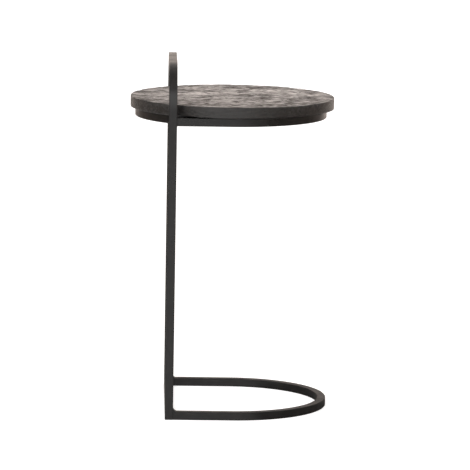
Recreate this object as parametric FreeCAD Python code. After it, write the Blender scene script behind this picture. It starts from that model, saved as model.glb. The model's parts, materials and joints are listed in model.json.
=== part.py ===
"""Laptop table: a round wooden top carried by a C-shaped frame of square bar.

Two uprights stand on a U-shaped base loop.  A second loop of the same bend,
closed by an arc, carries the wooden top, and a bent bar joins the uprights
above the top as a handle.

Frame: +Z is up and the floor is Z = 0.  The origin lies on the floor under the
centre of the top.  The uprights stand on the -X side, and the base loop runs
towards +X, so that it slides under a seat.  Lengths are in millimetres.
"""
import FreeCAD, Part
import math
import os

V = FreeCAD.Vector

# Round wooden top
top_diameter = 400.0
top_thickness = 23.0
surface_height = 612.0
top_edge_round = 1.2

# Shallow bevel under the top's edge, and what it leaves flat past the support
under_bevel_rise = 1.8
under_bevel_margin = 0.5

# Square steel bar that the whole frame is bent and welded from
bar = 16.0
bar_edge = 0.8

# Place of the uprights
upright_setback = 125.5
rim_clearance = 4.6

# Centre of the support's ring behind the top's centre, and centre of the
# base loop's bend ahead of it
support_setback = 2.5
base_lead = 5.5

# Handle
handle_rise = 74.5

# Blunt end that is left on the arc where it runs out along the support loop
arc_end = 5.0

# Welds in the corners of the base
weld_leg = 7.0
weld_throat = 3.6

# Lugs that hold the top
lug_width = 24.0
lug_reach = 24.0
lug_thickness = 3.0
lug_weld_gap = 0.2
# Corners that the lugs point at from the support's centre, along X and along Y
lug_corners = {
    "front_right": (1, -1),
    "rear_right": (1, 1),
    "rear_left": (-1, 1),
    "front_left": (-1, -1),
}

# Pan-head wood screws, with a cross recess in the head
screw_diameter = 4.0
screw_length = 16.0
screw_point = 4.0
head_diameter = 8.0
head_height = 2.6
head_edge = 0.9
recess_span = 4.4
recess_slot = 0.9
recess_depth = 1.5
hole_clearance = 0.5
pilot_clearance = 0.1
pilot_allowance = 1.0

# Distance by which cutting bodies run past the faces that they cut
overrun = 5.0

# Directions
UP = V(0, 0, 1)
RIGHT = V(1, 0, 0)
BACK = V(0, 1, 0)

# Places that follow from the sizes above
top_radius = top_diameter / 2
half_bar = bar / 2
outer_x = -upright_setback
inner_x = outer_x + bar
rim_half_chord = math.sqrt(top_radius ** 2 - inner_x ** 2)
frame_inner = rim_half_chord + rim_clearance
frame_outer = frame_inner + bar
frame_middle = frame_inner + half_bar
support_top = surface_height - top_thickness
support_middle = support_top - half_bar
handle_top = surface_height + handle_rise
handle_bend = handle_top - support_top
support_foot = V(-support_setback, 0, 0)
flat_radius = frame_outer + support_setback + under_bevel_margin
base_foot = V(base_lead, 0, 0)
lug_hole_radius = (screw_diameter + hole_clearance) / 2
lug_hole_place = frame_inner - lug_reach + lug_width / 2


def bar_section(centre, across, upward):
    """Face of the square bar, with broken edges, square to its run."""
    flat = half_bar - bar_edge
    places = [
        (half_bar, -flat),
        (half_bar, flat),
        (flat, half_bar),
        (-flat, half_bar),
        (-half_bar, flat),
        (-half_bar, -flat),
        (-flat, -half_bar),
        (flat, -half_bar),
    ]
    corners = [centre + across * a + upward * b for a, b in places]
    corners.append(corners[0])
    return Part.Face(Part.makePolygon(corners))


def straight_bar(start, end, across, upward):
    """Straight run of bar between two points on its middle line."""
    return bar_section(start, across, upward).extrude(end - start)


def joined(pieces):
    """One solid from runs of bar that meet end to end."""
    whole = pieces[0].fuse(pieces[1:]).removeSplitter()
    return whole.Solids[0]


def u_loop(foot, middle_height):
    """Half turn of bar with two straight arms that end at the uprights.

    The foot is the point on the floor under the middle of the half turn.
    """
    arms = []
    for side in (-1, 1):
        start = V(inner_x, side * frame_middle, middle_height)
        end = V(foot.x, side * frame_middle, middle_height)
        arms.append(straight_bar(start, end, BACK, UP))
    section = bar_section(V(foot.x, -frame_middle, middle_height), BACK, UP)
    turn = section.revolve(foot, UP, 180)
    return joined([arms[0], turn, arms[1]])


def support_arc():
    """Arc that closes the support into a ring, cut to lie along the arms."""
    section = bar_section(V(support_foot.x, frame_middle, support_middle), BACK, UP)
    turn = section.revolve(support_foot, UP, 180)
    stop = math.sqrt(frame_inner ** 2 - (frame_inner - arc_end) ** 2)
    reach = frame_outer + overrun
    corner = V(support_foot.x - reach, -frame_inner, support_middle - bar)
    keep = Part.makeBox(reach - stop, 2 * frame_inner, 2 * bar, corner)
    return turn.common(keep).Solids[0]


def upright(side):
    """Straight upright from the floor to where the handle's bend starts."""
    x = outer_x + half_bar
    foot = V(x, side * frame_middle, 0)
    head = V(x, side * frame_middle, support_top)
    return straight_bar(foot, head, RIGHT, BACK)


def crossbar():
    """Bar along the floor between the feet of the uprights."""
    x = outer_x + half_bar
    start = V(x, -frame_inner, half_bar)
    end = V(x, frame_inner, half_bar)
    return straight_bar(start, end, RIGHT, UP)


def handle():
    """Bent bar with two quarter turns and a level grip between them."""
    x = outer_x + half_bar
    grip_half = frame_outer - handle_bend
    turns = []
    for side in (-1, 1):
        section = bar_section(V(x, side * frame_middle, support_top), RIGHT, BACK)
        pivot = V(x, side * grip_half, support_top)
        turns.append(section.revolve(pivot, RIGHT, side * 90))
    grip_height = handle_top - half_bar
    start = V(x, -grip_half, grip_height)
    end = V(x, grip_half, grip_height)
    grip = straight_bar(start, end, RIGHT, UP)
    return joined([turns[0], grip, turns[1]])


def corner_weld(corner, away, along):
    """Hollow fillet of weld in a corner, as wide as the bar's flat faces.

    The corner is the middle of the line where the two faces meet, away points
    along the lower face, and along is the direction of that line.
    """
    half = half_bar - bar_edge
    start = corner - along * half
    toe = start + away * weld_leg
    top = start + UP * weld_leg
    throat = weld_throat / math.sqrt(2)
    hollow = start + (away + UP) * throat
    edges = [
        Part.LineSegment(start, toe).toShape(),
        Part.Arc(toe, hollow, top).toShape(),
        Part.LineSegment(top, start).toShape(),
    ]
    return Part.Face(Part.Wire(edges)).extrude(along * (2 * half))


def placed_round(shape, toward):
    """The shape turned about the support's middle, from +X to a lug's corner."""
    shape.translate(support_foot)
    shape.rotate(support_foot, UP, math.degrees(math.atan2(toward[1], toward[0])))
    return shape


def lug(toward):
    """Flat lug with a rounded end and a screw hole, level with the support."""
    low = support_top - lug_thickness
    half = lug_width / 2
    corner = V(lug_hole_place, -half, low)
    run = frame_outer - lug_hole_place
    plate = Part.makeBox(run, lug_width, lug_thickness, corner)
    centre = V(lug_hole_place, 0, low)
    nose = Part.makeCylinder(half, lug_thickness, centre)
    bound = Part.makeCylinder(frame_inner - lug_weld_gap, lug_thickness, V(0, 0, low))
    blank = plate.fuse(nose).removeSplitter().common(bound)
    hole_foot = centre - UP * overrun
    hole = Part.makeCylinder(lug_hole_radius, lug_thickness + 2 * overrun, hole_foot)
    return placed_round(blank.cut(hole), toward).Solids[0]


def wood_screw(toward):
    """Pan-head screw up through a lug into the top."""
    seat = support_top - lug_thickness
    shank = screw_diameter / 2
    head = head_diameter / 2
    crown = head - head_edge
    x = lug_hole_place
    low = seat - head_height
    tip_height = seat + screw_length
    outline = [
        V(x, 0, low),
        V(x + crown, 0, low),
        V(x + head, 0, low + head_edge),
        V(x + head, 0, seat),
        V(x + shank, 0, seat),
        V(x + shank, 0, tip_height - screw_point),
        V(x, 0, tip_height),
        V(x, 0, low),
    ]
    profile = Part.Face(Part.makePolygon(outline))
    body = profile.revolve(V(x, 0, 0), UP, 360)
    for length, width in ((recess_span, recess_slot), (recess_slot, recess_span)):
        place = V(x - length / 2, -width / 2, low - overrun)
        slot = Part.makeBox(length, width, overrun + recess_depth, place)
        body = body.cut(slot)
    return placed_round(body, toward).Solids[0]


def tabletop():
    """Wooden disc, bevelled under its edge, with blind pilot holes underneath."""
    under = V(0, 0, support_top)
    bevel = Part.makeCone(flat_radius, top_radius, under_bevel_rise, under)
    rim_height = top_thickness - under_bevel_rise
    rim = Part.makeCylinder(top_radius, rim_height, under + UP * under_bevel_rise)
    disc = bevel.fuse(rim).removeSplitter()
    upper = [e for e in disc.Edges if e.Closed and e.CenterOfMass.z > surface_height - top_edge_round]
    disc = disc.makeFillet(top_edge_round, upper)
    pilot_radius = (screw_diameter + pilot_clearance) / 2
    pilot_depth = screw_length - lug_thickness + pilot_allowance
    for toward in lug_corners.values():
        foot = V(lug_hole_place, 0, support_top - overrun)
        hole = Part.makeCylinder(pilot_radius, pilot_depth + overrun, foot)
        disc = disc.cut(placed_round(hole, toward))
    return disc.Solids[0]


def build_nodes():
    """Every node of the table by name."""
    nodes = {
        "tabletop": tabletop(),
        "front_upright": upright(-1),
        "rear_upright": upright(1),
        "handle": handle(),
        "base_loop": u_loop(base_foot, half_bar),
        "base_crossbar": crossbar(),
        "support_loop": u_loop(support_foot, support_middle),
        "support_arc": support_arc(),
    }
    for name, side in (("front", -1), ("rear", 1)):
        loop_corner = V(inner_x, side * frame_middle, bar)
        nodes["loop_weld_" + name] = corner_weld(loop_corner, RIGHT, BACK)
        cross_corner = V(outer_x + half_bar, side * frame_inner, bar)
        nodes["crossbar_weld_" + name] = corner_weld(cross_corner, BACK * -side, RIGHT)
    for place, toward in lug_corners.items():
        nodes["lug_" + place] = lug(toward)
    screws = [wood_screw(toward) for toward in lug_corners.values()]
    nodes["wood_screws"] = Part.makeCompound(screws)
    return nodes


def main():
    """Build each node, write its STEP file and print its size."""
    os.makedirs("parts", exist_ok=True)
    for name, shape in build_nodes().items():
        shape.exportStep("parts/" + name + ".step")
        box = shape.BoundBox
        print("%-20s solids %d  volume %9.0f mm3  box %6.1f x %6.1f x %6.1f" % (
            name, len(shape.Solids), shape.Volume, box.XLength, box.YLength, box.ZLength))


main()
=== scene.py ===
"""Finishes, worn wooden top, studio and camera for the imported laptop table.

Everything is in metres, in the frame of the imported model: +Z is up, the floor is
Z = 0 and the origin lies under the centre of the round top.
"""
import json
import logging
import math
from dataclasses import dataclass
from enum import Enum

import bmesh
import bpy
from mathutils import Matrix, Vector, noise


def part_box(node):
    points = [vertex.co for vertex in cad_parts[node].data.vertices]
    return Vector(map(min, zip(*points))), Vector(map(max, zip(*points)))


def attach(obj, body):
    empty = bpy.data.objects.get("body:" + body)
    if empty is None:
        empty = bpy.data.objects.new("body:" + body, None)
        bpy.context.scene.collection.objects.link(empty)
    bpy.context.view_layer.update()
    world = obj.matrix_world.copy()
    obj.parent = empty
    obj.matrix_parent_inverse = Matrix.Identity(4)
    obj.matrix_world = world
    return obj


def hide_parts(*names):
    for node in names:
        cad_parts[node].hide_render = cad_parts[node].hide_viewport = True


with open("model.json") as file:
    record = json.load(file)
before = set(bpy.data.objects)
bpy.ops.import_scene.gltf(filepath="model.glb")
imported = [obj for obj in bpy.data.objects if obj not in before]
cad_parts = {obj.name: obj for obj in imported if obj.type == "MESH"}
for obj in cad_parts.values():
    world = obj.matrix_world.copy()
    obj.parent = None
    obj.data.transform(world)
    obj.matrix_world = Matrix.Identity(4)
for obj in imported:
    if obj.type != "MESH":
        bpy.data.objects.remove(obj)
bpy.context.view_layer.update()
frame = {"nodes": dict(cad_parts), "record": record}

BODY = "root"
LOG = logging.getLogger("laptop_table")

Point = tuple[float, float, float]
Colour = tuple[float, float, float, float]
Range = tuple[float, float]
Socket = bpy.types.NodeSocket

# Middle of what a Noise Texture gives
NOISE_MIDDLE = 0.5

# Sockets of the Mix node that carry colours
MIX_SHARE = 0
MIX_FIRST = 6
MIX_SECOND = 7
MIX_RESULT = 2

# Directions in the frame of the table
UP = (0.0, 0.0, 1.0)
DOWN = (0.0, 0.0, -1.0)
TO_CAMERA = (0.0, -1.0, 0.0)
TO_LEFT = (-1.0, 0.0, 0.0)
TO_RIGHT = (1.0, 0.0, 0.0)


class Finish(Enum):
    """Finishes of the table, by the record's material slot."""

    WOOD = "wood"
    STEEL = "steel"
    SCREW = "screw"


class Graph:
    """Short calls that add and join nodes of one shader tree."""

    def __init__(self, tree: bpy.types.NodeTree) -> None:
        """Start on an empty tree.

        Args:
            tree: The node tree to fill.
        """
        self.tree = tree
        tree.nodes.clear()

    def add(self, kind: str, values: dict | None = None, **settings: object) -> bpy.types.Node:
        """Add one node.

        Args:
            kind: The node's type, without the words ShaderNode.
            values: Input values or linked sockets, by input name or index.
            settings: Properties of the node.

        Returns:
            The new node.
        """
        prefix = "" if kind.startswith("NodeGroup") else "ShaderNode"
        node = self.tree.nodes.new(prefix + kind)
        for name, value in settings.items():
            setattr(node, name, value)
        for name, value in (values or {}).items():
            self.put(node.inputs[name], value)
        return node

    def put(self, socket: Socket, value: object) -> None:
        """Link a socket, or set its value.

        Args:
            socket: The input socket.
            value: An output socket to link, or a plain value.
        """
        if isinstance(value, Socket):
            self.tree.links.new(value, socket)
        else:
            socket.default_value = value

    def math(self, operation: str, *values: object) -> Socket:
        """Add a Math node.

        Args:
            operation: Its operation, such as MULTIPLY.
            values: Its inputs in order, as numbers or sockets.

        Returns:
            Its output.
        """
        return self.add("Math", dict(enumerate(values)), operation=operation).outputs[0]

    def plus(self, first: object, second: object) -> Socket:
        """Add two values."""
        return self.math("ADD", first, second)

    def minus(self, first: object, second: object) -> Socket:
        """Take the second value from the first."""
        return self.math("SUBTRACT", first, second)

    def times(self, first: object, second: object) -> Socket:
        """Multiply two values."""
        return self.math("MULTIPLY", first, second)

    def weighted(self, *terms: tuple[Socket, object]) -> Socket:
        """Add up values, each times its weight.

        Args:
            terms: Pairs of a value and its weight.

        Returns:
            The sum.
        """
        value, weight = terms[0]
        total = self.times(value, weight)
        for value, weight in terms[1:]:
            total = self.plus(total, self.times(value, weight))
        return total

    def split(self, vector: Socket) -> bpy.types.NodeOutputs:
        """Split a vector into its three coordinates."""
        return self.add("SeparateXYZ", {0: vector}).outputs

    def join(self, *values: Socket) -> Socket:
        """Join three coordinates into a vector."""
        return self.add("CombineXYZ", dict(enumerate(values))).outputs[0]

    def noise(self, vector: Socket, scale: object, detail: float = 2.0, rough: float = 0.5) -> Socket:
        """Add a three-dimensional Noise Texture.

        Args:
            vector: Where it is read.
            scale: Its scale, per metre.
            detail: Its octaves.
            rough: Its roughness.

        Returns:
            Its value, about 0.5 in the middle.
        """
        values = {"Vector": vector, "Scale": scale, "Detail": detail, "Roughness": rough}
        return self.add("TexNoise", values).outputs[0]

    def span(self, value: Socket, low: object, high: object, to_low: object = 0.0,
             to_high: object = 1.0) -> Socket:
        """Map a range onto another, with its ends held.

        Args:
            value: The value to map.
            low: The value that gives to_low.
            high: The value that gives to_high.
            to_low: The result at low.
            to_high: The result at high.

        Returns:
            The mapped value.
        """
        values = {0: value, 1: low, 2: high, 3: to_low, 4: to_high}
        return self.add("MapRange", values, clamp=True).outputs[0]

    def blend(self, share: object, first: object, second: object) -> Socket:
        """Mix two colours.

        Args:
            share: The share of the second colour.
            first: A colour or a socket.
            second: A colour or a socket.

        Returns:
            The mixed colour.
        """
        values = {MIX_SHARE: share, MIX_FIRST: first, MIX_SECOND: second}
        node = self.add("Mix", data_type="RGBA")
        for index, value in values.items():
            self.put(node.inputs[index], value)
        return node.outputs[MIX_RESULT]

    def layered(self, colour: object, *coats: tuple[Socket, object]) -> object:
        """Lay coats of colour over a first one.

        Args:
            colour: The first colour.
            coats: Pairs of a coat's share and its colour, the lowest first.

        Returns:
            The colour on top.
        """
        for share, coat in coats:
            colour = self.blend(share, colour, coat)
        return colour

    def surface(self, values: dict, height: Socket, depth: float, strength: float) -> None:
        """End a material in a Principled shader with a bump.

        Args:
            values: The shader's inputs by name.
            height: The bump's height.
            depth: The bump's distance, in metres.
            strength: The bump's strength.
        """
        bump = self.add("Bump", {"Height": height, "Distance": depth, "Strength": strength})
        shader = self.add("BsdfPrincipled", {**values, "Normal": bump.outputs[0]})
        self.add("OutputMaterial", {0: shader.outputs[0]})


class Effect:
    """A shader node group with named inputs and outputs, built once."""

    name: str = ""
    inputs: dict[str, float] = {}
    outputs: tuple[str, ...] = ()

    def group(self) -> bpy.types.NodeTree:
        """Find or build the group.

        Returns:
            The group's tree.
        """
        known = bpy.data.node_groups.get(self.name)
        if known:
            return known
        tree = bpy.data.node_groups.new(self.name, "ShaderNodeTree")
        tree.interface.new_socket("Vector", in_out="INPUT", socket_type="NodeSocketVector")
        for name, value in self.inputs.items():
            made = tree.interface.new_socket(name, in_out="INPUT", socket_type="NodeSocketFloat")
            made.default_value = value
        for name in self.outputs:
            tree.interface.new_socket(name, in_out="OUTPUT", socket_type="NodeSocketFloat")
        graph = Graph(tree)
        source = graph.add("NodeGroupInput")
        target = graph.add("NodeGroupOutput")
        for name, value in self.fill(graph, source.outputs).items():
            tree.links.new(value, target.inputs[name])
        return tree

    def fill(self, graph: Graph, source: bpy.types.NodeOutputs) -> dict[str, Socket]:
        """Build the inside of the group.

        Args:
            graph: The group's graph.
            source: The group's input sockets.

        Returns:
            The output sockets by name.
        """
        raise NotImplementedError

    def place(self, graph: Graph, vector: Socket, **values: object) -> bpy.types.NodeOutputs:
        """Place the group in a material.

        Args:
            graph: The material's graph.
            vector: Where the effect is read.
            values: Values of the group's inputs, by name.

        Returns:
            The group's outputs.
        """
        node = graph.add("Group", node_tree=self.group())
        graph.put(node.inputs["Vector"], vector)
        for name, value in values.items():
            graph.put(node.inputs[name], value)
        return node.outputs


class Mottle(Effect):
    """Soft, uneven patches, such as handling marks, wear or painted glints."""

    name = "mottle"
    inputs = {"Scale": 20.0, "Low": 0.4, "High": 0.6, "Fineness": 4.0}
    outputs = ("Mask",)
    unevenness = 0.62

    def fill(self, graph: Graph, source: bpy.types.NodeOutputs) -> dict[str, Socket]:
        """Build noise that is cut between two levels.

        Args:
            graph: The group's graph.
            source: The group's input sockets.

        Returns:
            The mask, by name.
        """
        value = graph.noise(source["Vector"], source["Scale"], source["Fineness"], self.unevenness)
        return {"Mask": graph.span(value, source["Low"], source["High"])}


class Fibre(Effect):
    """Fine fibres that run along X, as in wood."""

    name = "fibre"
    inputs = {"Along": 8.0, "Across": 300.0, "Wander": 0.004}
    outputs = ("Value", "Pores")
    wave_scale = 9.0
    fibre_detail = 3.0
    fibre_roughness = 0.6
    pore_scale = 3.1
    pore_detail = 1.0
    pore_roughness = 0.4
    pore_range = (0.62, 0.7)

    def fill(self, graph: Graph, source: bpy.types.NodeOutputs) -> dict[str, Socket]:
        """Build noise that is drawn out along X and wanders sideways.

        Args:
            graph: The group's graph.
            source: The group's input sockets.

        Returns:
            The fibres' value and the mask of the pores, by name.
        """
        wave = graph.noise(source["Vector"], self.wave_scale)
        shift = graph.times(graph.minus(wave, NOISE_MIDDLE), source["Wander"])
        x, y, z = graph.split(source["Vector"])
        along = graph.times(x, source["Along"])
        side = graph.times(graph.plus(y, shift), source["Across"])
        height = graph.times(graph.plus(z, shift), source["Across"])
        drawn = graph.join(along, side, height)
        value = graph.noise(drawn, 1.0, self.fibre_detail, self.fibre_roughness)
        pores = graph.noise(drawn, self.pore_scale, self.pore_detail, self.pore_roughness)
        return {"Value": value, "Pores": graph.span(pores, *self.pore_range)}


class GrowthRings(Effect):
    """Growth rings round a pith that lies along X, outside the board."""

    name = "growth_rings"
    inputs = {"Pith Y": 0.05, "Pith Z": 0.4, "Spacing": 0.006, "Wobble": 0.03}
    outputs = ("Late Wood",)
    bend_scale_along = 2.2
    bend_scale_across = 5.0
    bend_detail = 3.0
    late_range = (0.35, 0.92)
    end_range = (0.94, 1.0)

    def fill(self, graph: Graph, source: bpy.types.NodeOutputs) -> dict[str, Socket]:
        """Build rings from the distance to the pith, bent by slow noise.

        Args:
            graph: The group's graph.
            source: The group's input sockets.

        Returns:
            The share of late wood, by name.
        """
        x, y, z = graph.split(source["Vector"])
        slow = graph.join(
            graph.times(x, self.bend_scale_along),
            graph.times(y, self.bend_scale_across),
            graph.times(z, self.bend_scale_across),
        )
        bend = graph.minus(graph.noise(slow, 1.0, self.bend_detail), NOISE_MIDDLE)
        side = graph.minus(y, source["Pith Y"])
        rise = graph.minus(z, source["Pith Z"])
        distance = graph.math("SQRT", graph.plus(graph.times(side, side), graph.times(rise, rise)))
        reach = graph.plus(distance, graph.times(bend, source["Wobble"]))
        share = graph.math("FRACT", graph.math("DIVIDE", reach, source["Spacing"]))
        late = graph.span(share, *self.late_range)
        end = graph.span(share, *self.end_range, 1.0, 0.0)
        return {"Late Wood": graph.times(late, end)}


class Checks(Effect):
    """Drying cracks along X that open and close."""

    name = "drying_cracks"
    inputs = {"Along": 5.0, "Across": 45.0, "Width": 0.02, "Share": 0.6}
    outputs = ("Mask",)
    wave_scale = 40.0
    wave_detail = 3.0
    wave_reach = 0.012
    upward_scale = 12.0
    place_scale = 0.7
    place_fade = 0.08

    def fill(self, graph: Graph, source: bpy.types.NodeOutputs) -> dict[str, Socket]:
        """Build thin cell walls that only show in places.

        Args:
            graph: The group's graph.
            source: The group's input sockets.

        Returns:
            The mask of the cracks, by name.
        """
        x, y, z = graph.split(source["Vector"])
        wave = graph.noise(source["Vector"], self.wave_scale, self.wave_detail)
        wave = graph.times(graph.minus(wave, NOISE_MIDDLE), self.wave_reach)
        drawn = graph.join(
            graph.times(x, source["Along"]),
            graph.times(graph.plus(y, wave), source["Across"]),
            graph.times(z, self.upward_scale),
        )
        values = {"Vector": drawn, "Scale": 1.0}
        cells = graph.add("TexVoronoi", values, feature="DISTANCE_TO_EDGE").outputs[0]
        line = graph.span(cells, 0.0, source["Width"], 1.0, 0.0)
        open_from = graph.plus(source["Share"], self.place_fade)
        places = graph.span(graph.noise(drawn, self.place_scale), source["Share"], open_from)
        return {"Mask": graph.times(line, places)}


class CoatGrain(Effect):
    """Fine orange-peel and dust nibs of a baked powder coat."""

    name = "coat_grain"
    inputs = {"Peel": 420.0, "Nibs": 2600.0}
    outputs = ("Height", "Sheen")
    peel_detail = 1.0
    peel_roughness = 0.4
    peel_share = 0.7
    nib_detail = 2.0
    nib_roughness = 0.6
    nib_share = 0.3
    sheen_scale = 14.0
    sheen_detail = 4.0
    sheen_roughness = 0.6

    def fill(self, graph: Graph, source: bpy.types.NodeOutputs) -> dict[str, Socket]:
        """Build a soft peel with a finer grain on it.

        Args:
            graph: The group's graph.
            source: The group's input sockets.

        Returns:
            The coat's height and its uneven sheen, by name.
        """
        place = source["Vector"]
        peel = graph.noise(place, source["Peel"], self.peel_detail, self.peel_roughness)
        nibs = graph.noise(place, source["Nibs"], self.nib_detail, self.nib_roughness)
        height = graph.weighted((peel, self.peel_share), (nibs, self.nib_share))
        sheen = graph.noise(place, self.sheen_scale, self.sheen_detail, self.sheen_roughness)
        return {"Height": height, "Sheen": sheen}


@dataclass(frozen=True)
class Patches:
    """Size, cut and fineness of a mottle's patches."""

    scale: float
    low: float
    high: float
    fineness: float

    def mask(self, graph: Graph, vector: Socket) -> Socket:
        """Place the mottle with these values.

        Args:
            graph: The material's graph.
            vector: Where it is read.

        Returns:
            The mask of the patches.
        """
        values = {"Scale": self.scale, "Low": self.low, "High": self.high, "Fineness": self.fineness}
        return Mottle().place(graph, vector, **values)["Mask"]


@dataclass(frozen=True)
class Strands:
    """Length, width and wander of a bundle of fibres."""

    along: float
    across: float
    wander: float

    def drawn(self, graph: Graph, vector: Socket) -> bpy.types.NodeOutputs:
        """Place the fibres with these values.

        Args:
            graph: The material's graph.
            vector: Where they are read.

        Returns:
            The fibres' value and pores.
        """
        values = {"Along": self.along, "Across": self.across, "Wander": self.wander}
        return Fibre().place(graph, vector, **values)


def blank_material(name: str) -> tuple[bpy.types.Material, Graph]:
    """Make an empty node material.

    Args:
        name: The material's name.

    Returns:
        The material and its graph.
    """
    material = bpy.data.materials.new(name)
    material.use_nodes = True
    return material, Graph(material.node_tree)


@dataclass(frozen=True)
class PowderCoat:
    """Matt black powder coat on the steel frame, duller near the floor."""

    colour: Colour = (0.004, 0.0039, 0.0041, 1.0)
    worn: Colour = (0.012, 0.0117, 0.0114, 1.0)
    marks: Patches = Patches(scale=38.0, low=0.54, high=0.74, fineness=6.0)
    mark_share: float = 0.5
    mark_roughness: float = 0.06
    smooth: float = 0.25
    rough: float = 0.37
    sheen_range: Range = (0.35, 0.65)
    dull: float = 0.25
    dull_height: float = 0.35
    gloss: float = 0.44
    peel_depth: float = 0.00004
    peel_strength: float = 1.0

    def material(self) -> bpy.types.Material:
        """Build the material.

        Returns:
            The powder coat's material.
        """
        material, graph = blank_material("table_" + Finish.STEEL.value)
        place = graph.add("TexCoord").outputs["Object"]
        grain = CoatGrain().place(graph, place)
        marks = self.marks.mask(graph, place)
        colour = graph.blend(graph.times(marks, self.mark_share), self.colour, self.worn)
        rough = graph.span(grain["Sheen"], *self.sheen_range, self.smooth, self.rough)
        rough = graph.plus(rough, graph.times(marks, self.mark_roughness))
        dull = graph.span(graph.split(place)[2], 0.0, self.dull_height, self.dull, 0.0)
        values = {
            "Base Color": colour,
            "Roughness": graph.plus(rough, dull),
            "Specular IOR Level": self.gloss,
        }
        graph.surface(values, grain["Height"], self.peel_depth, self.peel_strength)
        return material


@dataclass(frozen=True)
class BlackZinc:
    """Blackened zinc on the wood screws."""

    colour: Colour = (0.11, 0.108, 0.105, 1.0)
    bright: Colour = (0.3, 0.29, 0.28, 1.0)
    rubbed: Patches = Patches(scale=900.0, low=0.5, high=0.7, fineness=3.0)
    rough: float = 0.42
    smooth: float = 0.3
    metallic: float = 0.9
    grain_scale: float = 5200.0
    grain_depth: float = 0.00002
    grain_strength: float = 0.8

    def material(self) -> bpy.types.Material:
        """Build the material.

        Returns:
            The screws' material.
        """
        material, graph = blank_material("table_" + Finish.SCREW.value)
        place = graph.add("TexCoord").outputs["Object"]
        rubbed = self.rubbed.mask(graph, place)
        values = {
            "Base Color": graph.blend(rubbed, self.colour, self.bright),
            "Roughness": graph.span(rubbed, 0.0, 1.0, self.rough, self.smooth),
            "Metallic": self.metallic,
        }
        grain = graph.noise(place, self.grain_scale)
        graph.surface(values, grain, self.grain_depth, self.grain_strength)
        return material


@dataclass(frozen=True)
class Figure:
    """What shows on the wood: its fibres, rings, cracks, and patches of wear and of painted light.

    Across is the distance from the middle line towards the back, reach the one
    from the centre, and upward is 1 on the face and 0 on the rim. Tone is how
    far the face is painted pale, partly as worn wood and partly as a painted
    reflection of the backdrop.
    """

    across: Socket
    reach: Socket
    upward: Socket
    fine: Socket
    coarse: Socket
    streaks: Socket
    pores: Socket
    late_wood: Socket
    cracks: Socket
    scars: Socket
    specks: Socket
    grain: Socket
    tone: Socket


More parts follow.
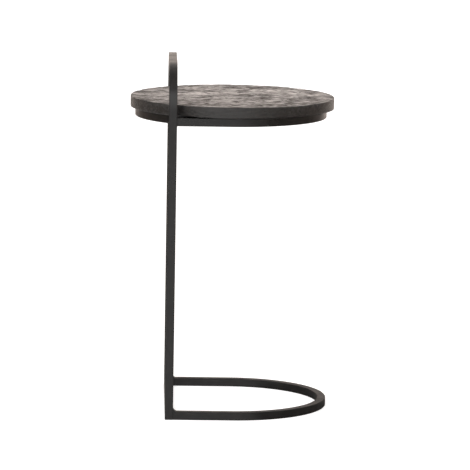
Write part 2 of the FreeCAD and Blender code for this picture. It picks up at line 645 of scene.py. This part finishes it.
@dataclass(frozen=True)
class StainedWood:
    """Dark-stained wood: dark rim, paler face that is partly worn and partly painted reflection."""

    # Colours, from the stain in the grain to the painted highlights on the face's specks
    deep: Colour = (0.004, 0.0036, 0.0033, 1.0)
    stain: Colour = (0.022, 0.0203, 0.0192, 1.0)
    brown: Colour = (0.026, 0.017, 0.012, 1.0)
    # Pale of the face: partly worn wood and partly a painted reflection of the backdrop
    pale: Colour = (0.7, 0.65, 0.63, 1.0)
    # Painted highlight: near-white glints laid on the face's specks
    glint: Colour = (0.8, 0.76, 0.73, 1.0)
    soot: Colour = (0.004, 0.0035, 0.003, 1.0)

    # Roughness of the face and of the rim, and the specular level of both
    smooth: float = 0.34
    rough: float = 0.78
    rough_range: Range = (0.1, 0.8)
    rim_smooth: float = 0.29
    rim_rough: float = 0.4
    rim_range: Range = (0.25, 0.75)
    crack_roughness: float = 0.25
    gloss: float = 0.62

    # Fibres, and the levels between which they count
    fine: Strands = Strands(along=10.0, across=300.0, wander=0.004)
    coarse: Strands = Strands(along=7.0, across=80.0, wander=0.02)
    streaks: Strands = Strands(along=75.0, across=95.0, wander=0.012)
    fine_range: Range = (0.36, 0.64)
    coarse_range: Range = (0.32, 0.68)
    streak_range: Range = (0.38, 0.62)
    fine_share: float = 0.65
    coarse_share: float = 0.35

    # Patches of part-worn, part-painted-reflection tone, scars and painted-highlight specks, frayed and
    # drawn out along the fibres
    broad: Patches = Patches(scale=15.0, low=0.44, high=0.56, fineness=4.0)
    scraped: Patches = Patches(scale=75.0, low=0.45, high=0.56, fineness=8.0)
    scars: Patches = Patches(scale=95.0, low=0.525, high=0.585, fineness=5.0)
    # Specks where painted highlights are laid on the face
    specks: Patches = Patches(scale=125.0, low=0.6, high=0.68, fineness=3.0)
    fine_fray: float = 0.03
    coarse_fray: float = 0.04
    patch_stretch: float = 0.85
    pattern: float = 8.45

    # Share of each in how far the face is painted pale, partly as worn wood and partly as painted
    # reflection
    broad_tone: float = 0.34
    scraped_tone: float = 0.46
    streak_tone: float = 0.16
    grain_tone: float = 0.85
    grain_middle: float = 0.45

    # Strength of what is laid over the face's and the rim's colour
    scar_share: float = 0.85
    speck_share: float = 0.75
    late_wood_share: float = 0.45
    pore_share: float = 0.5
    # Browner towards the front of the face, fading out towards the back
    front_dark_range: Range = (-0.2, 0.1)
    front_dark_share: float = 0.42
    edge_range: Range = (0.187, 0.2)
    edge_share: float = 0.35
    border_range: Range = (0.14, 0.2)
    border_share: float = 0.25
    face_slope: Range = (0.35, 0.95)

    # Relief of the grain
    grain_depth: float = 0.0009
    grain_strength: float = 0.8
    fine_relief: float = 0.3
    coarse_relief: float = 0.6
    streak_relief: float = 0.45
    scar_relief: float = -0.5
    late_wood_relief: float = -0.12
    pore_relief: float = -0.15
    crack_relief: float = -1.2
    scar_smoothing: float = 0.5

    def material(self) -> bpy.types.Material:
        """Build the material.

        Returns:
            The wood's material.
        """
        material, graph = blank_material("table_" + Finish.WOOD.value)
        figure = self.figure(graph)
        values = {
            "Base Color": self.colour(graph, figure),
            "Roughness": self.roughness(graph, figure),
            "Specular IOR Level": self.gloss,
        }
        graph.surface(values, self.relief(graph, figure), self.grain_depth, self.grain_strength)
        return material

    def figure(self, graph: Graph) -> Figure:
        """Draw the fibres, rings, cracks and worn patches.

        Args:
            graph: The material's graph.

        Returns:
            The wood's figure.
        """
        place = graph.add("TexCoord").outputs["Object"]
        x, y, z = graph.split(place)
        fine = self.fine.drawn(graph, place)
        coarse = self.coarse.drawn(graph, place)
        streaks = self.streaks.drawn(graph, place)
        fray = graph.weighted(
            (graph.minus(fine["Value"], NOISE_MIDDLE), self.fine_fray),
            (graph.minus(coarse["Value"], NOISE_MIDDLE), self.coarse_fray),
        )
        along = graph.times(graph.plus(x, fray), self.patch_stretch)
        drawn = graph.join(along, y, graph.plus(z, self.pattern))
        grain = graph.weighted(
            (graph.span(fine["Value"], *self.fine_range), self.fine_share),
            (graph.span(coarse["Value"], *self.coarse_range), self.coarse_share),
        )
        tone = graph.weighted(
            (self.broad.mask(graph, drawn), self.broad_tone),
            (self.scraped.mask(graph, drawn), self.scraped_tone),
            (graph.span(streaks["Value"], *self.streak_range), self.streak_tone),
            (graph.minus(grain, self.grain_middle), self.grain_tone),
        )
        normal = graph.add("NewGeometry").outputs["True Normal"]
        return Figure(
            across=y,
            reach=graph.math("SQRT", graph.plus(graph.times(x, x), graph.times(y, y))),
            upward=graph.span(graph.split(normal)[2], *self.face_slope),
            fine=fine["Value"],
            coarse=coarse["Value"],
            streaks=streaks["Value"],
            pores=fine["Pores"],
            late_wood=GrowthRings().place(graph, place)["Late Wood"],
            cracks=Checks().place(graph, place)["Mask"],
            scars=self.scars.mask(graph, drawn),
            specks=self.specks.mask(graph, drawn),
            grain=grain,
            tone=tone,
        )

    def colour(self, graph: Graph, figure: Figure) -> Socket:
        """Colour the rim and the face, and what runs over both.

        Args:
            graph: The material's graph.
            figure: The wood's figure.

        Returns:
            The colour.
        """
        # Browner towards the front of the face
        front_dark = graph.span(figure.across, *self.front_dark_range, self.front_dark_share, 0.0)
        edge = graph.span(figure.reach, *self.edge_range, 0.0, self.edge_share)
        border = graph.span(figure.reach, *self.border_range, 0.0, self.border_share)
        rim = graph.layered(self.deep, (figure.grain, self.stain), (figure.scars, self.soot))
        # The face's pale tone is partly worn wood and partly painted reflection
        face = graph.layered(
            self.brown,
            (figure.tone, self.pale),
            (graph.times(figure.scars, self.scar_share), self.brown),
            (front_dark, self.brown),
            (graph.plus(edge, border), self.stain),
            # Painted highlights on the specks
            (graph.times(figure.specks, self.speck_share), self.glint),
        )
        return graph.layered(
            rim,
            (figure.upward, face),
            (graph.times(figure.late_wood, self.late_wood_share), self.deep),
            (graph.times(figure.pores, self.pore_share), self.deep),
            (figure.cracks, self.soot),
        )

    def roughness(self, graph: Graph, figure: Figure) -> Socket:
        """Make the pale-toned places smoother than the scars and the cracks.

        Args:
            graph: The material's graph.
            figure: The wood's figure.

        Returns:
            The roughness.
        """
        rubbed = graph.minus(figure.tone, graph.times(figure.scars, self.scar_smoothing))
        face = graph.span(rubbed, *self.rough_range, self.rough, self.smooth)
        rim = graph.span(figure.grain, *self.rim_range, self.rim_rough, self.rim_smooth)
        both = graph.span(figure.upward, 0.0, 1.0, rim, face)
        return graph.plus(both, graph.times(figure.cracks, self.crack_roughness))

    def relief(self, graph: Graph, figure: Figure) -> Socket:
        """Raise the fibres and sink the scars, pores and cracks.

        Args:
            graph: The material's graph.
            figure: The wood's figure.

        Returns:
            The height for the bump.
        """
        return graph.weighted(
            (figure.fine, self.fine_relief),
            (figure.coarse, self.coarse_relief),
            (figure.streaks, self.streak_relief),
            (figure.scars, self.scar_relief),
            (figure.late_wood, self.late_wood_relief),
            (figure.pores, self.pore_relief),
            (figure.cracks, self.crack_relief),
        )


def mesh_object(name: str, shape: bmesh.types.BMesh, material: bpy.types.Material,
                smooth: bool = True) -> bpy.types.Object:
    """Turn a bmesh into an object in the scene.

    Args:
        name: The object's name.
        shape: The mesh, which is freed.
        material: Its material.
        smooth: Whether its faces are shaded smooth.

    Returns:
        The new object.
    """
    mesh = bpy.data.meshes.new(name)
    for face in shape.faces:
        face.smooth = smooth
    shape.to_mesh(mesh)
    shape.free()
    made = bpy.data.objects.new(name, mesh)
    bpy.context.scene.collection.objects.link(made)
    made.data.materials.append(material)
    return made


@dataclass(frozen=True)
class Waves:
    """Uneven waves in a worked surface, with octaves only where they are given."""

    pitch: Point
    layer: float = 0.0
    octaves: int = 0
    softness: float = 1.0
    step: float = 2.0

    def height(self, place: Vector) -> float:
        """Read the waves.

        Args:
            place: Where they are read.

        Returns:
            Their height, about 0 in the middle.
        """
        x, y, z = self.pitch
        spot = Vector((place.x * x, place.y * y, place.z * z + self.layer))
        if self.octaves:
            return noise.fractal(spot, self.softness, self.step, self.octaves)
        return noise.noise(spot)


@dataclass
class WoodenTop:
    """The round top, with a scraped face, a soft rim and worn edges."""

    material: bpy.types.Material
    edge_round: float = 0.0012
    bevel_rise: float = 0.0018
    bevel_run: float = 0.009
    round_steps: int = 4
    rings: int = 104
    steps: int = 520
    rim_rows: int = 9
    merge_distance: float = 0.000001
    underside: float = 0.0005
    scrapes: Waves = Waves((17.0, 27.0, 0.0), octaves=3, softness=0.55, step=2.1)
    scrape_depth: float = 0.0014
    scrape_middle: float = 0.5
    scrape_border: float = 0.022
    ripples: Waves = Waves((90.0, 150.0, 0.0), layer=5.0)
    ripple_depth: float = 0.0003
    rim_waves: Waves = Waves((30.0, 30.0, 160.0))
    rim_depth: float = 0.0004
    chips: Waves = Waves((55.0, 55.0, 0.0), layer=3.0, octaves=3, softness=0.8, step=2.0)
    chip_level: float = 0.1
    chip_growth: float = 2.0
    chip_reach: float = 0.006
    chip_depth: float = 0.0006

    def build(self) -> list[str]:
        """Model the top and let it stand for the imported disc.

        Returns:
            The name of the new piece.
        """
        low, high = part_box("tabletop")
        radius = (high.x - low.x) / 2
        shape = self.turned_disc(radius, low.z, high.z)
        self.wear(shape, radius, low.z, high.z)
        made = mesh_object("wooden_top", shape, self.material)
        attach(made, BODY)
        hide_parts("tabletop")
        return [made.name]

    def turned_disc(self, radius: float, low: float, high: float) -> bmesh.types.BMesh:
        """Turn the disc from half of its section.

        Args:
            radius: The disc's radius.
            low: Height of its underside.
            high: Height of its face.

        Returns:
            The disc.
        """
        shape = bmesh.new()
        flat = radius - self.edge_round
        shoulder = high - self.edge_round
        points = [(0.0, high), (flat, high)]
        for step in range(1, self.round_steps + 1):
            turn = math.pi / 2 * step / self.round_steps
            outward = self.edge_round * math.sin(turn)
            upward = self.edge_round * math.cos(turn)
            points.append((flat + outward, shoulder + upward))
        points += [(radius, low + self.bevel_rise), (radius - self.bevel_run, low), (0.0, low)]
        corners = [shape.verts.new((x, 0, z)) for x, z in points]
        runs = [shape.edges.new(pair) for pair in zip(corners, corners[1:])]
        face_run = runs[0]
        rim_run = runs[self.round_steps + 1]
        bmesh.ops.subdivide_edges(shape, edges=[face_run], cuts=self.rings)
        bmesh.ops.subdivide_edges(shape, edges=[rim_run], cuts=self.rim_rows)
        bmesh.ops.spin(shape, geom=shape.verts[:] + shape.edges[:], cent=(0, 0, 0), axis=UP,
                       angle=2 * math.pi, steps=self.steps, use_merge=True)
        bmesh.ops.remove_doubles(shape, verts=shape.verts[:], dist=self.merge_distance)
        bmesh.ops.recalc_face_normals(shape, faces=shape.faces[:])
        return shape

    def wear(self, shape: bmesh.types.BMesh, radius: float, low: float, high: float) -> None:
        """Scrape the face, ripple the rim and knock its edges.

        Args:
            shape: The disc, which is changed.
            radius: The disc's radius.
            low: Height of its underside.
            high: Height of its face.
        """
        half_round = self.edge_round / 2
        for corner in shape.verts:
            place = corner.co.copy()
            reach = math.hypot(place.x, place.y)
            if place.z < low + self.underside or reach < self.merge_distance:
                continue
            outward = Vector((place.x, place.y, 0)) / reach
            if place.z > high - half_round:
                corner.co.z -= self.scrape(place, radius - reach)
            if reach > radius - half_round:
                corner.co -= outward * self.rim_depth * (0.5 + 0.5 * self.rim_waves.height(place))
            edge = 1 - min(1.0, math.hypot(radius - reach, high - place.z) / self.chip_reach)
            if edge > 0:
                corner.co -= (outward + Vector(UP)) * self.chip_depth * edge * self.chip(place)

    def scrape(self, place: Vector, inward: float) -> float:
        """Work out how deep the face is scraped.

        Args:
            place: A place on the face.
            inward: Its distance from the rim.

        Returns:
            The depth there, which fades out at the rim.
        """
        slow = self.scrapes.height(place)
        quick = self.ripples.height(place)
        fade = min(1.0, inward / self.scrape_border)
        dip = self.scrape_depth * (self.scrape_middle + slow) + self.ripple_depth * quick
        return max(0.0, dip) * fade

    def chip(self, place: Vector) -> float:
        """Work out how much of the edge is knocked off.

        Args:
            place: A place near the edge.

        Returns:
            The share of the deepest chip.
        """
        level = max(0.0, self.chips.height(place) - self.chip_level)
        return min(1.0, level * self.chip_growth)


def finish_nodes(finish: Finish, material: bpy.types.Material) -> list[str]:
    """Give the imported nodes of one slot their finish.

    Args:
        finish: The slot.
        material: The finish's material.

    Returns:
        The nodes' names.
    """
    names = [row["node"] for row in frame["record"]["subparts"] if row["material_slot"] == finish.value]
    for name in names:
        materials = frame["nodes"][name].data.materials
        materials.clear()
        materials.append(material)
    return names


@dataclass
class SteelFrame:
    """The welded frame of square bar, with its welds and lugs."""

    material: bpy.types.Material

    def dress(self) -> list[str]:
        """Give every imported steel node the powder coat, and return their names."""
        return finish_nodes(Finish.STEEL, self.material)


@dataclass
class Fixings:
    """The screws that hold the top."""

    material: bpy.types.Material

    def dress(self) -> list[str]:
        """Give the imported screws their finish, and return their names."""
        return finish_nodes(Finish.SCREW, self.material)


@dataclass(frozen=True)
class Card:
    """A sheet of the studio: the floor, or a board that reflections show.

    Its shade can run into another one towards the front. It glows by glow to
    the camera and by mirror_glow in reflections.
    """

    name: str
    centre: Point
    facing: Point
    width: float
    height: float
    shade: Colour
    front_shade: Colour | None = None
    fade: Range = (0.0, 1.0)
    glow: float = 0.0
    mirror_glow: float = 0.0
    shown: bool = False
    mirrored_only: bool = False

    def hang(self) -> str:
        """Put the sheet up, hidden from the camera unless it is shown.

        Returns:
            Its name.
        """
        shape = bmesh.new()
        bmesh.ops.create_grid(shape, x_segments=1, y_segments=1, size=0.5)
        bmesh.ops.scale(shape, vec=(self.width, self.height, 1.0), verts=shape.verts[:])
        turn = Vector(self.facing).to_track_quat("Z", "Y").to_matrix()
        bmesh.ops.rotate(shape, matrix=turn, verts=shape.verts[:])
        bmesh.ops.translate(shape, vec=self.centre, verts=shape.verts[:])
        made = mesh_object(self.name, shape, self.material(), smooth=False)
        made.visible_camera = self.shown
        made.visible_diffuse = not self.mirrored_only
        made.visible_shadow = not self.mirrored_only
        return made.name

    def material(self) -> bpy.types.Material:
        """Build the sheet's paint, which is clear to the camera from behind.

        Returns:
            The sheet's material.
        """
        material, graph = blank_material(self.name)
        colour = self.shade
        if self.front_shade:
            depth = graph.split(graph.add("TexCoord").outputs["Object"])[1]
            colour = graph.blend(graph.span(depth, *self.fade), self.front_shade, self.shade)
        matt = graph.add("BsdfDiffuse", {"Color": colour})
        rays = graph.add("LightPath").outputs
        mirrored = graph.math("MAXIMUM", rays["Is Glossy Ray"], rays["Is Transmission Ray"])
        strength = graph.weighted((rays["Is Camera Ray"], self.glow), (mirrored, self.mirror_glow))
        glow = graph.add("Emission", {"Color": colour, "Strength": strength})
        both = graph.add("AddShader", {0: matt.outputs[0], 1: glow.outputs[0]})
        behind = graph.add("NewGeometry").outputs["Backfacing"]
        gone = graph.times(behind, rays["Is Camera Ray"])
        clear = graph.add("BsdfTransparent")
        paint = graph.add("MixShader", {0: gone, 1: both.outputs[0], 2: clear.outputs[0]})
        graph.add("OutputMaterial", {0: paint.outputs[0]})
        return material


@dataclass(frozen=True)
class Lamp:
    """A square soft lamp, hidden from the camera."""

    name: str
    place: Point
    aim: Point
    size: float
    power: float

    def hang(self) -> str:
        """Hang the lamp, turned to its aim.

        Returns:
            Its name.
        """
        light = bpy.data.lights.new(self.name, "AREA")
        light.shape = "SQUARE"
        light.size = self.size
        light.energy = self.power
        made = bpy.data.objects.new(self.name, light)
        bpy.context.scene.collection.objects.link(made)
        made.location = self.place
        made.visible_camera = False
        made.rotation_mode = "QUATERNION"
        made.rotation_quaternion = (Vector(self.aim) - Vector(self.place)).to_track_quat("-Z", "Y")
        return made.name


@dataclass(frozen=True)
class Camera:
    """The camera that was fitted to the photograph's edges."""

    position: Point = (-0.179902, -8.014694, 1.531385)
    yaw: float = math.radians(-1.35275)
    pitch: float = math.radians(8.48166)
    roll: float = math.radians(0.94363)
    focal_pixels: float = 4110.7068
    image_pixels: float = 470.0
    sensor_width: float = 36.0
    nearest: float = 0.1
    farthest: float = 200.0

    def stand(self) -> str:
        """Set the camera up and look through it.

        Returns:
            Its name.
        """
        data = bpy.data.cameras.new("photo_camera")
        data.sensor_width = self.sensor_width
        data.lens = self.sensor_width * self.focal_pixels / self.image_pixels
        data.clip_start = self.nearest
        data.clip_end = self.farthest
        level = math.cos(self.pitch)
        right = Vector((math.cos(self.yaw), math.sin(self.yaw), 0))
        ahead = Vector((-math.sin(self.yaw) * level, math.cos(self.yaw) * level, -math.sin(self.pitch)))
        above = right.cross(ahead)
        turned = right * math.cos(self.roll) + above * math.sin(self.roll)
        lifted = above * math.cos(self.roll) - right * math.sin(self.roll)
        made = bpy.data.objects.new("photo_camera", data)
        bpy.context.scene.collection.objects.link(made)
        axes = Matrix((turned, lifted, -ahead)).transposed().to_4x4()
        made.matrix_world = Matrix.Translation(Vector(self.position)) @ axes
        bpy.context.scene.camera = made
        return made.name


@dataclass
class Studio:
    """White studio with soft lamps, sheets that the table mirrors, and a camera."""

    white: Colour = (1.0, 1.0, 1.0, 1.0)
    surround: Colour = (1.0, 0.97, 0.95, 1.0)
    # The floor lies 0.2 mm under the feet, so that their undersides show from below
    cards: tuple[Card, ...] = (
        Card("studio_floor", (0.0, 0.0, -0.0002), UP, width=60.0, height=60.0,
             shade=(0.8, 0.8, 0.8, 1.0), glow=0.75, mirror_glow=0.5, shown=True),
        Card("dark_mat", (0.86, -0.1, 0.0004), UP, width=1.6, height=1.4,
             shade=(0.27, 0.26, 0.25, 1.0), mirrored_only=True),
        Card("warm_backdrop", (0.0, 2.4, 1.1), TO_CAMERA, width=5.0, height=2.2,
             shade=(0.85, 0.76, 0.7, 1.0), mirror_glow=0.3),
        Card("right_flag", (1.3, -1.6, 0.65), TO_LEFT, width=5.6, height=1.3,
             shade=(0.46, 0.405, 0.365, 1.0), front_shade=(0.75, 0.73, 0.7, 1.0), fade=(-4.4, -1.0)),
        Card("left_flag", (-1.5, 0.15, 0.65), TO_RIGHT, width=4.1, height=1.3,
             shade=(0.47, 0.415, 0.375, 1.0)),
        Card("ceiling", (0.0, 0.4, 2.7), DOWN, width=3.0, height=4.0,
             shade=(0.75, 0.74, 0.72, 1.0)),
    )
    lamps: tuple[Lamp, ...] = (
        Lamp("key_lamp", (-0.7, -1.7, 1.8), aim=(0.0, 0.0, 0.5), size=1.5, power=10.5),
        Lamp("left_lamp", (-2.2, -0.4, 2.7), aim=(0.0, 0.0, 0.4), size=1.6, power=26.0),
        Lamp("right_lamp", (2.2, -0.4, 2.7), aim=(0.0, 0.0, 0.4), size=1.6, power=26.0),
    )

    def build(self) -> list[str]:
        """Put up the surround, the sheets, the lamps and the camera.

        Returns:
            The names of what was put up.
        """
        names = [self.world()]
        names += [card.hang() for card in self.cards]
        names += [lamp.hang() for lamp in self.lamps]
        names.append(Camera().stand())
        bpy.context.scene.view_settings.view_transform = "Standard"
        return names

    def world(self) -> str:
        """Make the surround, white to the camera and a warm white to the table.

        Returns:
            Its name.
        """
        world = bpy.data.worlds.new("studio_surround")
        bpy.context.scene.world = world
        world.use_nodes = True
        graph = Graph(world.node_tree)
        seen = graph.add("LightPath").outputs["Is Camera Ray"]
        colour = graph.blend(seen, self.surround, self.white)
        back = graph.add("Background", {"Color": colour, "Strength": 1.0})
        graph.add("OutputWorld", {0: back.outputs[0]})
        return world.name


def report(part: str, pieces: list[str]) -> None:
    """Report each piece of a sub-assembly.

    Args:
        part: The sub-assembly.
        pieces: The names of its pieces.
    """
    for piece in pieces:
        LOG.info("%s: %s", part, piece)


def main() -> None:
    """Build and dress the table, then the studio."""
    logging.basicConfig(level=logging.INFO, format="%(name)s: %(message)s")
    report("steel frame", SteelFrame(PowderCoat().material()).dress())
    report("fixings", Fixings(BlackZinc().material()).dress())
    report("wooden top", WoodenTop(StainedWood().material()).build())
    report("studio", Studio().build())


if __name__ == "__main__":
    main()
